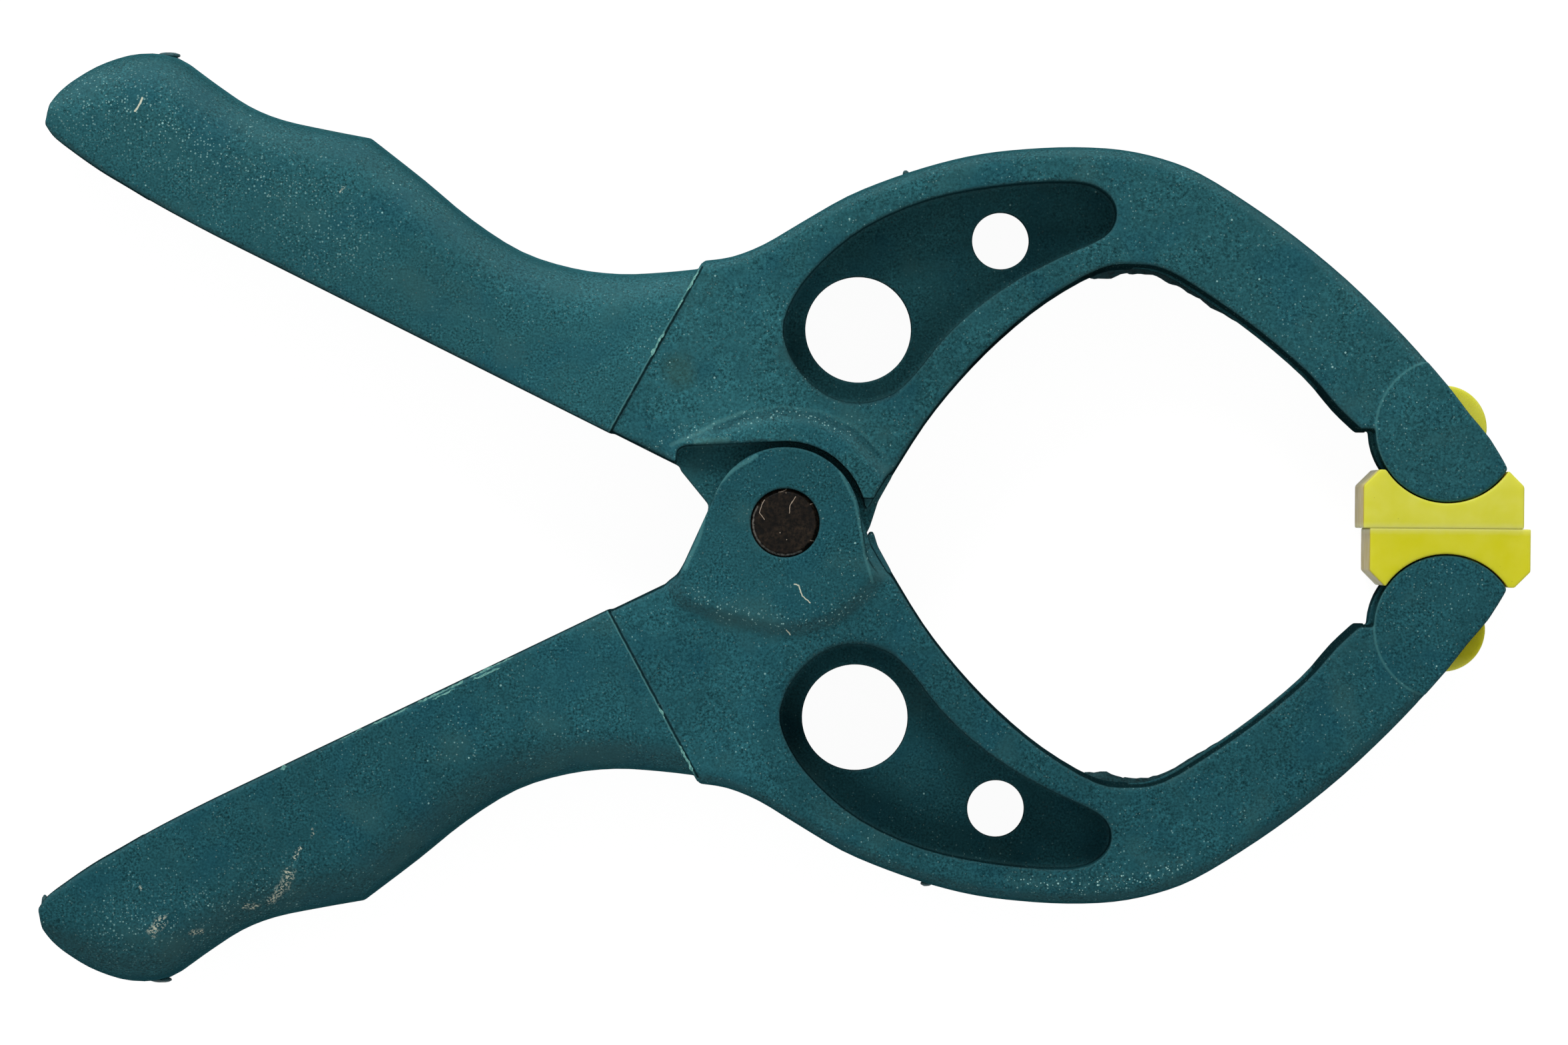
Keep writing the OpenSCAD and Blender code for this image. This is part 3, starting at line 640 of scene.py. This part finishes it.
LOWER_LOOK = {
    # A touch darker than the upper arm's colour: painted shade.
    "colour": rgb(34, 79, 86),
    # Painted shade on the lit part of the pocket's floor: its line and how dark it is.
    "pocket_floor_shade": ([(0.6, -17), (1.4, -18.6), (4.5, -22), (8.8, -24.3), (14.4, -25.6),
                 (15.6, -25.7)], 0.64),
    "dusty": [
        ([(-7.2, -5.2), (-4.2, -6.9), (0, -7.5), (3.2, -7.1), (5.8, -5.4)], 0.9, 0.7),
        ([(17.5, -26.6), (22.9, -27.0), (27, -26.5), (30, -25.2)], 0.9, 1.0),
        ([(-50, -31), (-43, -30), (-38, -27.5)], 3.4, 0.45)],
    "scuffs": [
        ([(-36.2, -24.7), (-36.5, -25.5)], 0.22),
        ([(-37.0, -26.5), (-37.3, -27.5), (-38.4, -28.7)], 0.5),
        ([(-39.4, -29.1), (-40.4, -29.2)], 0.3),
        ([(-46.6, -30.3), (-47.1, -31.1)], 0.55),
        ([(-43.6, -31.0), (-44.2, -31.2)], 0.28),
        ([(-48.1, -27.7), (-48.0, -27.9)], 0.2),
        ([(-35.3, -23.4), (-35.35, -23.7)], 0.2)],
    "fibres": [
        ([(0.74, -4.59), (1.07, -4.68), (1.34, -5.42), (1.94, -5.95)], 0.05),
        ([(0.2, -8.0), (0.45, -8.4)], 0.045)],
    "lines": step_highlight_and_shadow(-1) + [
        # Painted highlight along the rims of the ear.
        ([(-7.5, -3.5), (-6.4, -1.1), (-5.9, 1.1), (-4.95, 2.95), (-3.85, 4.0), (-2.2, 5.0)],
         0.2, 0.4, rgb(84, 142, 144)),
        ([(4.1, 3.85), (5.2, 1.7), (5.55, 0), (6.0, -2.4), (6.6, -4.4)], 0.14, 0.3,
         rgb(84, 142, 144))],
}
print("marks:", len(UPPER_LOOK["lines"]), "lines above and", len(LOWER_LOOK["lines"]), "below")

# %% [markdown]
# ## Softer bosses
# The foot and the top of the raised boss round the pivot are blended more softly than the other
# edges, so after the solid is softened the boss's slope is picked out by its height and tilt
# and relaxed further.


# %% Arms
ARM_GRID = 0.15 * mm
ARM_PASSES = 4
ARM_TRIANGLES = 180000
MID_MM = 7.5
SLOPE_LOW, SLOPE_HIGH = 6.5, 7.45
SLOPE_STEEP, SLOPE_FLAT = 0.35, 0.93
SLOPE_INNER, SLOPE_OUTER = 6.4, 12.5
SLOPE_START_Y = 2.0


def relax_boss(arm, up):
    """Relaxes the sloped side of each boss, which the numbers above pick out."""
    only(arm)
    bpy.ops.object.mode_set(mode="EDIT")
    bpy.ops.mesh.select_all(action="DESELECT")
    edit = bmesh.from_edit_mesh(arm.data)
    picked = 0
    for vertex in edit.verts:
        x, y, z = vertex.co / mm
        sloped = SLOPE_STEEP < abs(vertex.normal.z) < SLOPE_FLAT
        if SLOPE_LOW < abs(z - MID_MM) < SLOPE_HIGH and sloped:
            if y * up > SLOPE_START_Y and SLOPE_INNER < math.hypot(x, y) < SLOPE_OUTER:
                vertex.select = True
                picked += 1
    edit.select_flush_mode()
    bmesh.update_edit_mesh(arm.data)
    bpy.ops.mesh.select_mode(type="VERT")
    for _ in range(4):
        bpy.ops.mesh.select_more()
    bpy.ops.mesh.vertices_smooth(factor=0.5, repeat=16)
    bpy.ops.object.mode_set(mode="OBJECT")
    print(arm.name, picked, "points of the boss relaxed")


for (side, up), offset, look in zip(ARM_SIDES, ((0, 0, 0), (0.05, 0.02, 0.01)),
                                    (UPPER_LOOK, LOWER_LOOK)):
    arm = copy_of_solid(side + "_arm", "moulded_" + side + "_arm")
    soften(arm, ARM_GRID, ARM_PASSES)
    relax_boss(arm, up)
    thin_out(arm, ARM_TRIANGLES)
    arm.data.materials.append(arm_plastic(side + "_arm_plastic", up, offset, look))
    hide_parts(side + "_arm")
    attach(arm, side)

# %% [markdown]
# ## Flash
# Where the halves of a mould meet, a little plastic squeezes out: this is flash. It stands in a
# ragged lip along the edges of the throat, along the step where each handle begins, and along
# the lower handle, where a cut has left pale shavings. Each strip is one small face drawn out
# step by step along the edge that it stands on, with a size that varies from step to step, so
# half of it is sunk in the arm and the other half sticks out. The edge is found by casting a
# ray at the arm, so the strip can't miss it.


# %% Flash helpers
def landed(arm, start, direction):
    """The place where a ray from start, in millimetres, meets the arm."""
    hit, place, _, _ = arm.ray_cast(Vector(start) * mm, Vector(direction).normalized())
    if not hit:
        raise ValueError(f"nothing to stand on from {start}")
    return place


def drawn_strip(name, path, widths, flatness):
    """A strip along path, with a width in millimetres at each place, flatness times as thick."""
    run = (path[1] - path[0]).normalized()
    side_way = run.cross(Vector((0, 0, 1))).normalized()
    turn = Matrix((side_way, run.cross(side_way), run)).transposed().to_4x4()
    size = widths[0] * mm
    bpy.ops.object.select_all(action="DESELECT")
    bpy.ops.mesh.primitive_plane_add(size=1)
    strip = bpy.context.object
    strip.name = strip.data.name = name
    flat = Matrix.Diagonal((size, size * flatness, 1, 1))
    strip.matrix_world = Matrix.Translation(path[0]) @ turn @ flat
    bpy.ops.object.transform_apply(location=True, rotation=True, scale=True)
    bpy.ops.object.mode_set(mode="EDIT")
    bpy.ops.mesh.select_all(action="SELECT")
    for i in range(1, len(path)):
        bpy.ops.mesh.extrude_region_move(TRANSFORM_OT_translate={"value": path[i] - path[i - 1]})
        bpy.ops.transform.resize(value=(widths[i] / widths[i - 1],) * 3, center_override=path[i])
    bpy.ops.mesh.select_all(action="SELECT")
    bpy.ops.mesh.normals_make_consistent(inside=False)
    bpy.ops.object.mode_set(mode="OBJECT")
    return strip


def drawn_out(points, widths, step, shake, least, seed):
    """Places about step apart along points, and their widths, both varied. step, shake and the
    widths are in millimetres. No width falls below least times its own, but for the two ends,
    which run out to a third."""
    dice = random.Random(seed)
    places, sizes = [], []
    for i in range(len(points) - 1):
        count = max(1, round((points[i + 1] - points[i]).length / (step * mm)))
        for j in range(count):
            places.append(points[i].lerp(points[i + 1], j / count))
            sizes.append(widths[i] + (widths[i + 1] - widths[i]) * j / count)
    places.append(points[-1])
    sizes.append(widths[-1])
    places = [p + Vector((dice.uniform(-1, 1), dice.uniform(-1, 1), 0)) * shake * mm
              for p in places]
    sizes = [w * dice.uniform(least, 1) for w in sizes]
    sizes[0] = sizes[0] / 3
    sizes[-1] = sizes[-1] / 3
    return places, sizes


def nub(name, place, size, seed):
    """A small lump left where the plastic ran in, half sunk at place. size is in millimetres."""
    bpy.ops.object.select_all(action="DESELECT")
    bpy.ops.mesh.primitive_ico_sphere_add(subdivisions=3, radius=0.5)
    lump = bpy.context.object
    lump.name = lump.data.name = name
    bpy.ops.object.mode_set(mode="EDIT")
    bpy.ops.mesh.select_all(action="SELECT")
    bpy.ops.transform.vertex_random(offset=0.09, uniform=0.5, seed=seed)
    bpy.ops.mesh.vertices_smooth(factor=0.4, repeat=2)
    bpy.ops.object.mode_set(mode="OBJECT")
    lump.matrix_world = Matrix.Translation(place) @ Matrix.Diagonal([c * mm for c in size] + [1])
    bpy.ops.object.transform_apply(location=True, rotation=True, scale=True)
    return lump


def joined(name, pieces, material, body):
    only(*pieces)
    bpy.ops.object.join()
    whole = bpy.context.object
    whole.name = whole.data.name = name
    whole.data.materials.clear()
    whole.data.materials.append(material)
    bpy.ops.object.shade_smooth_by_angle(angle=math.radians(50))
    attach(whole, body)
    print(name, len(whole.data.polygons), "faces")


# %% Flash plastic
def flash_plastic(name, dark, pale):
    """Thin torn plastic: paler than the arm where it is thin, and stringy."""
    material, tree, bsdf = new_material(name)
    coords = tree.nodes.new("ShaderNodeTexCoord").outputs["Object"]
    strings = noise(tree, coords, 1 / (0.2 * mm), 3, 0.7)
    body = mix(tree, ramp(tree, strings, 0.35, 0.65), dark, pale)
    tree.links.new(body, bsdf.inputs["Base Color"])
    bsdf.inputs["Specular IOR Level"].default_value = 0.3
    tree.links.new(ramp(tree, strings, 0.3, 0.7, 0.4, 0.6), bsdf.inputs["Roughness"])
    bump = node(tree, "Bump", {"Strength": 0.6, "Distance": 0.03 * mm, "Height": strings})
    tree.links.new(bump, bsdf.inputs["Normal"])
    return material


dark_flash = flash_plastic("moulded_flash", rgb(16, 48, 52), rgb(34, 84, 90))
pale_flash = flash_plastic("torn_flash", rgb(58, 122, 120), rgb(126, 182, 172))

# %% [markdown]
# ## The throat's bulge and lip
# At the middle level a smooth bulge stands at the root of the throat, and a thin ragged lip
# stands on along the jaw at a lower level. Each is listed by how far it stands out at each x.

# %% Flash in the throat
BULGE_LEVEL, LIP_LEVEL = 7.5, 2.6
RAY_START = 9
BULGES = {
    "upper": [(22.9, 0.1), (23.4, 0.35), (24.3, 0.66), (25.1, 0.4), (25.9, 0.32), (26.3, 0.3)],
    "lower": [(22.8, 0.1), (23.4, 0.35), (24.2, 0.78), (25.0, 0.5), (25.8, 0.32), (26.3, 0.3)],
}
LIPS = {
    "upper": [(25.2, 0.1), (26.0, 0.45), (26.9, 0.42), (27.8, 0.3), (28.4, 0.42), (29.0, 0.5),
              (29.9, 0.28), (30.7, 0.36), (31.4, 0.2), (32.2, 0.34), (33.2, 0.12), (34.2, 0.05)],
    "lower": [(25.2, 0.1), (26.0, 0.5), (26.9, 0.4), (27.8, 0.3), (28.8, 0.2), (29.8, 0.16),
              (30.8, 0.22), (31.8, 0.1), (33.0, 0.05)],
}
flash = {"upper": [], "lower": []}
for side, up in ARM_SIDES:
    arm = bpy.data.objects["moulded_" + side + "_arm"]
    for kind, level, places in (("bulge", BULGE_LEVEL, BULGES[side]),
                                ("lip", LIP_LEVEL, LIPS[side])):
        foot = [landed(arm, (x, RAY_START * up, level), (0, up, 0)) for x, _ in places]
        path, widths = drawn_out(foot, [2 * stands for _, stands in places], step=0.35,
                                 shake=0.02, least=0.85, seed=len(places) + up)
        flash[side].append(drawn_strip(kind + "_" + side, path, widths, flatness=0.4))
print("throat flash:", {side: len(pieces) for side, pieces in flash.items()})

# %% [markdown]
# ## Torn plastic on the handles
# Short torn pieces stand on each handle's step, listed by where they start and end across the
# handle and how wide they are. The shavings lie just inside the lower handle's inner edge.

# %% Flash along the steps and the lower handle
OVERHEAD = 20
DOWN = (0, 0, -1)
STEP_FOOT, STEP_LEAN = 14.91, 0.045
STEP_FLASH = {
    "upper": [(6.6, 8.8, 0.3), (10.6, 11.6, 0.26), (12.2, 14.1, 0.28)],
    "lower": [(8.4, 9.3, 0.22), (11.6, 13.8, 0.24)],
}
torn = {"upper": [], "lower": []}
for side, up in ARM_SIDES:
    arm = bpy.data.objects["moulded_" + side + "_arm"]
    for i, (start, end, wide) in enumerate(STEP_FLASH[side]):
        stops = [start + (end - start) * j / 4 for j in range(5)]
        places = [on_handle(STEP_FOOT - STEP_LEAN * across, across, up) for across in stops]
        edge = [landed(arm, (x, y, OVERHEAD), DOWN) for x, y in places]
        path, widths = drawn_out(edge, [wide] * len(edge), step=0.22, shake=0.05, least=0.25,
                                 seed=11 + i + up)
        torn[side].append(drawn_strip(f"step_{side}_{i}", path, widths, flatness=0.6))

SHAVINGS = [
    (22.8, 26.4, 0.26, 0.22), (24.0, 26.3, 0.5, 0.2), (26.9, 30.7, 0.3, 0.24),
    (27.8, 29.6, 0.52, 0.16), (31.4, 34.6, 0.3, 0.2), (35.2, 37.2, 0.26, 0.12),
    (41.6, 42.2, 0.3, 0.5)]
arm = bpy.data.objects["moulded_lower_arm"]
for start, end, across, wide in SHAVINGS:
    count = max(2, round(end - start))
    alongs = [start + (end - start) * i / count for i in range(count + 1)]
    edge = [landed(arm, (*on_handle(along, across, -1), OVERHEAD), DOWN) for along in alongs]
    path, widths = drawn_out(edge, [wide] * len(edge), step=0.25, shake=0.07, least=0.35,
                             seed=round(10 * start))
    torn["lower"].append(drawn_strip(f"shaving_{start}", path, widths, flatness=0.6))
print("torn flash:", {side: len(pieces) for side, pieces in torn.items()})

# %% [markdown]
# ## Nubs
# A nub is listed by where a ray starts, which way it goes until it meets the arm, and its size.

# %% Nubs
NUBS = {
    "upper": [
        ((8.9, 34, 7.5), (0, -1, 0), (0.5, 0.5, 0.8)),
        ((-46.9, 45, 7.5), (0, -1, 0), (1.8, 0.5, 1.2)),
        ((-70, 30.6, 7.5), (1, 0, 0), (0.5, 1.4, 1.0))],
    "lower": [
        ((10.9, -34, 7.5), (0, 1, 0), (0.9, 0.5, 1.0)),
        ((56, -17.4, 7.5), (-1, 0.55, 0), (0.8, 1.0, 1.2)),
        ((60, -7.4, 7.5), (-1, 0, 0), (0.4, 0.6, 0.8)),
        ((-46.9, -45, 7.5), (0, 1, 0), (1.8, 0.5, 1.2)),
        ((-70, -29.2, 7.5), (1, 0, 0), (0.5, 1.2, 1.0))],
}
for side, _ in ARM_SIDES:
    arm = bpy.data.objects["moulded_" + side + "_arm"]
    for i, (start, direction, size) in enumerate(NUBS[side]):
        flash[side].append(nub(f"nub_{side}_{i}", landed(arm, start, direction), size, i + 1))
    joined(side + "_arm_flash", flash[side], dark_flash, side)
    joined(side + "_arm_torn_flash", torn[side], pale_flash, side)

# %% [markdown]
# ## The pads' plastic
# The pads are moulded in a softer yellow-green plastic that lets a little light in. Their edges
# and the seam between them are painted paler than their middles, a painted highlight. Their inner
# end walls are a deep tan, and the back of the lower pad is painted paler still, painted light
# where the arm's shadow falls on it.


# %% Pad plastic
def pad_plastic(name, colour, pale, offset):
    material, tree, bsdf = new_material(name)
    own = tree.nodes.new("ShaderNodeTexCoord").outputs["Object"]
    coords = node(tree, "Mapping", {"Vector": own, "Location": offset})
    mottle = noise(tree, coords, 1 / (1.6 * mm), 3, 0.5)
    body = mix(tree, ramp(tree, mottle, 0.3, 0.7), colour, pale)
    # Painted highlight: the edges are painted paler.
    edges = ramp(tree, edge_mask(tree, 0.35 * mm), 0.02, 0.3, 0, 0.4)
    body = mix(tree, edges, body, rgb(228, 226, 140))
    # The end walls that face the pivot are turned a deep tan.
    end_wall = ramp(tree, part_of(tree, surface_normal(tree), 0), -0.4, -0.9, 0, 0.85)
    body = mix(tree, end_wall, body, rgb(182, 150, 4))
    # Painted light: the lower pad's back lies in the arm's shadow and is painted paler.
    lower_back_light = ramp(tree, part_of(tree, own, 1), -9.5 * mm, -11.5 * mm)
    body = mix(tree, lower_back_light, body, rgb(255, 252, 120))
    # Painted highlight along the seam between the pads.
    seam_highlight = stroke(tree, plan_of(tree, own, 0.1 * mm), [(43.5, 0), (56.5, 0)], 0.5)
    body = mix(tree, times(tree, seam_highlight, 0.6), body, rgb(230, 228, 130))
    marks = specks(tree, coords, 0.9 * mm, 0.05 * mm, 0.2)
    body = mix(tree, times(tree, marks, 0.4), body, rgb(140, 138, 40))
    tree.links.new(body, bsdf.inputs["Base Color"])
    bsdf.inputs["Subsurface Weight"].default_value = 0.5
    bsdf.inputs["Subsurface Radius"].default_value = (1.0, 0.9, 0.3)
    bsdf.inputs["Subsurface Scale"].default_value = 2 * mm
    bsdf.inputs["Specular IOR Level"].default_value = 0.08
    tree.links.new(ramp(tree, mottle, 0.3, 0.7, 0.32, 0.44), bsdf.inputs["Roughness"])
    skin = noise(tree, coords, 1 / (0.25 * mm), 2, 0.5)
    bump = node(tree, "Bump", {"Strength": 0.15, "Distance": 0.02 * mm, "Height": skin})
    tree.links.new(bump, bsdf.inputs["Normal"])
    return material


# %% Pads
PAD_COLOURS = {"upper": (rgb(212, 210, 62), rgb(218, 216, 84)),
               "lower": (rgb(210, 206, 34), rgb(214, 210, 54))}
PAD_GRID = 0.08 * mm
PAD_PASSES = 14
PAD_TRIANGLES = 60000
for side, offset in (("upper", (0, 0, 0)), ("lower", (0.03, 0.01, 0))):
    pad = copy_of_solid(side + "_pad", "moulded_" + side + "_pad")
    soften(pad, PAD_GRID, PAD_PASSES)
    thin_out(pad, PAD_TRIANGLES)
    pad.data.materials.append(pad_plastic(side + "_pad_plastic", *PAD_COLOURS[side], offset))
    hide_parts(side + "_pad")
    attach(pad, side + "_jaw_pad")

# %% [markdown]
# ## The pivot pin
# A plain steel pin, blackened, with its face a little below the ear. The face is pitted, with
# crumbs and lint on the side that faces up, and part of the rim is worn bright where the pin was
# pressed in.

# %% Pin's steel
LINT = ([(-1.58, 1.75), (-1.94, 0.74), (-1.54, 0.27)], [(0.8, 1.95), (0.34, 1.28), (0.34, 0.74)],
        [(1.9, 1.42), (2.5, 1.55)], [(1.95, -1.3), (2.5, -1.36)], [(-0.5, 2.3), (0.1, 2.5)])
WORN_RIM = arc(2.42, 150, 300, 10)

pin_steel, tree, bsdf = new_material("blackened_steel")
coords = tree.nodes.new("ShaderNodeTexCoord").outputs["Object"]
mottle = noise(tree, coords, 1 / (0.3 * mm), 4, 0.7)
body = mix(tree, ramp(tree, mottle, 0.42, 0.66), rgb(8, 6, 4), rgb(40, 31, 22))
blotches = ramp(tree, noise(tree, coords, 1 / (0.9 * mm), 2, 0.5), 0.35, 0.65, 0.55, 1.35)
body = mix(tree, 1.0, body, grey(tree, blotches), "MULTIPLY")
pits = specks(tree, coords, 0.6 * mm, 0.2 * mm, 0.5)
body = mix(tree, times(tree, pits, 0.8), body, rgb(6, 6, 6))
lint_plan = plan_of(tree, coords, 0.1 * mm, 0.5 * mm)
crumbs = strongest(tree, [specks(tree, coords, 0.5 * mm, 0.07 * mm, 0.5)] + [
    stroke(tree, lint_plan, points, 0.04, 0.015) for points in LINT])
top_side = math_node(tree, "GREATER_THAN", part_of(tree, coords, 2), TOP_LEVEL)
body = mix(tree, times(tree, crumbs, top_side, 0.75), body, rgb(176, 160, 142))
rim = stroke(tree, plan_of(tree, coords, 0.03 * mm, 0.4 * mm), WORN_RIM, 0.1, 0.02)
worn = times(tree, rim, ramp(tree, mottle, 0.35, 0.6, 0.1, 0.8))
body = mix(tree, worn, body, rgb(150, 145, 138))
tree.links.new(body, bsdf.inputs["Base Color"])
bsdf.inputs["Specular IOR Level"].default_value = 0.15
tree.links.new(ramp(tree, mottle, 0.3, 0.7, 0.4, 0.75), bsdf.inputs["Roughness"])
bump = node(tree, "Bump", {"Strength": 0.4, "Distance": 0.02 * mm, "Height": mottle})
tree.links.new(bump, bsdf.inputs["Normal"])
print("pin's steel:", len(tree.nodes), "nodes")

# %% Pin
PIN_GRID = 0.05 * mm
PIN_PASSES = 2
PIN_TRIANGLES = 40000
pin = copy_of_solid("pivot_pin", "pressed_pivot_pin")
soften(pin, PIN_GRID, PIN_PASSES)
thin_out(pin, PIN_TRIANGLES)
pin.data.materials.append(pin_steel)
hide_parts("pivot_pin")
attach(pin, "lower")

# %% [markdown]
# ## The torsion spring
# The spring is one piece of round wire: two turns and a part turn round the pin, and a straight
# leg into each handle, where it bears on the floor of the handle's channel. A circle is wound
# into the coil by a screw modifier, and the open ring at each end is extruded straight on, in
# the direction in which the wire leaves the coil. The size of the coil and the tips of the legs
# are read from the solid, so the wire lands where it should.

# %% Spring wire
wire_steel, tree, bsdf = new_material("spring_wire")
coords = tree.nodes.new("ShaderNodeTexCoord").outputs["Object"]
streaks = noise(tree, coords, 1 / (0.4 * mm), 3, 0.6)
body = mix(tree, ramp(tree, streaks, 0.3, 0.7), (0.40, 0.40, 0.41, 1), (0.60, 0.60, 0.61, 1))
stains = ramp(tree, noise(tree, coords, 1 / (2.5 * mm), 3, 0.6), 0.55, 0.7, 0, 0.35)
body = mix(tree, stains, body, (0.22, 0.17, 0.12, 1))
tree.links.new(body, bsdf.inputs["Base Color"])
bsdf.inputs["Metallic"].default_value = 1.0
tree.links.new(ramp(tree, streaks, 0.3, 0.7, 0.26, 0.44), bsdf.inputs["Roughness"])
bump = node(tree, "Bump", {"Strength": 0.2, "Distance": 0.02 * mm, "Height": streaks})
tree.links.new(bump, bsdf.inputs["Normal"])
print("wire:", len(tree.nodes), "nodes")

# %% Size of the spring
WIRE_R = 0.8 * mm
COIL_R = 4.3 * mm
TURNS = 2
WIRE_SIDES = 14
COIL_STEPS = 110
wire_low, wire_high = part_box("torsion_spring")
middle = (wire_low[2] + wire_high[2]) / 2
rise = wire_high[2] - wire_low[2] - 2 * WIRE_R
tips = [v.co for v in frame["nodes"]["torsion_spring"].data.vertices
        if v.co.x < wire_low[0] + 1.2 * WIRE_R]
upper_tips = [c for c in tips if c.y > 0]
tip = sum(upper_tips, Vector()) / len(upper_tips)
reach = math.hypot(tip.x, tip.y)
leg = math.sqrt(reach ** 2 - COIL_R ** 2)
leg_turn = math.atan2(tip.y, tip.x) + math.asin(COIL_R / reach)
sweep = 2 * (leg_turn - math.pi / 2) + 2 * math.pi * TURNS
print("coil:", round(math.degrees(sweep)), "degrees, rise", round(rise / mm, 2), "mm, legs",
      round(leg / mm, 1), "mm")

# %% Coil
bpy.ops.object.select_all(action="DESELECT")
bpy.ops.mesh.primitive_circle_add(vertices=WIRE_SIDES, radius=WIRE_R,
                                  location=(COIL_R, 0, middle - rise / 2),
                                  rotation=(math.pi / 2, 0, 0))
spring = bpy.context.object
spring.name = spring.data.name = "wound_torsion_spring"
bpy.ops.object.transform_apply(location=True, rotation=True, scale=True)
apply_modifier(spring, "SCREW", axis="Z", angle=sweep, screw_offset=rise, steps=COIL_STEPS,
               render_steps=COIL_STEPS, use_normal_calculate=True)
spring.rotation_euler.z = math.pi / 2 - leg_turn
bpy.ops.object.transform_apply(location=True, rotation=True, scale=True)
print("coil:", len(spring.data.polygons), "faces")

# %% Legs
TIP_ROUND = 0.25 * mm
TIP_SHARE = 0.72


def coil_end(end):
    """The middle of the wire where the coil ends. end is -1 at the bottom and 1 at the top."""
    angle = end * (leg_turn - math.pi / 2)
    return Vector((COIL_R * math.cos(angle), COIL_R * math.sin(angle), middle + end * rise / 2))


def select_ring(piece, place):
    """Selects the open ring of wire at that place."""
    bpy.ops.mesh.select_mode(type="VERT")
    bpy.ops.mesh.select_all(action="DESELECT")
    edit = bmesh.from_edit_mesh(piece.data)
    for edge in edit.edges:
        if edge.is_boundary and (edge.verts[0].co - place).length < 1.05 * WIRE_R:
            edge.select = True
            for vertex in edge.verts:
                vertex.select = True
    edit.select_flush_mode()
    bmesh.update_edit_mesh(piece.data)


bpy.ops.object.mode_set(mode="EDIT")
for end in (-1, 1):
    select_ring(spring, coil_end(end))
    along = Vector((math.cos(leg_turn), end * math.sin(leg_turn), 0))
    for length in (0.3 * leg, 0.7 * leg - TIP_ROUND, TIP_ROUND):
        bpy.ops.mesh.extrude_region_move(TRANSFORM_OT_translate={"value": along * length})
    bpy.ops.transform.resize(value=(TIP_SHARE,) * 3, center_override=coil_end(end) + along * leg)
    bpy.ops.mesh.edge_face_add()
bpy.ops.mesh.select_all(action="SELECT")
bpy.ops.mesh.remove_doubles(threshold=0.001 * mm)
bpy.ops.mesh.normals_make_consistent(inside=False)
bpy.ops.object.mode_set(mode="OBJECT")
bpy.ops.object.shade_smooth_by_angle(angle=math.radians(40))
spring.data.materials.append(wire_steel)
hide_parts("torsion_spring")
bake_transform(spring)
print(spring.name, len(spring.data.polygons), "faces")
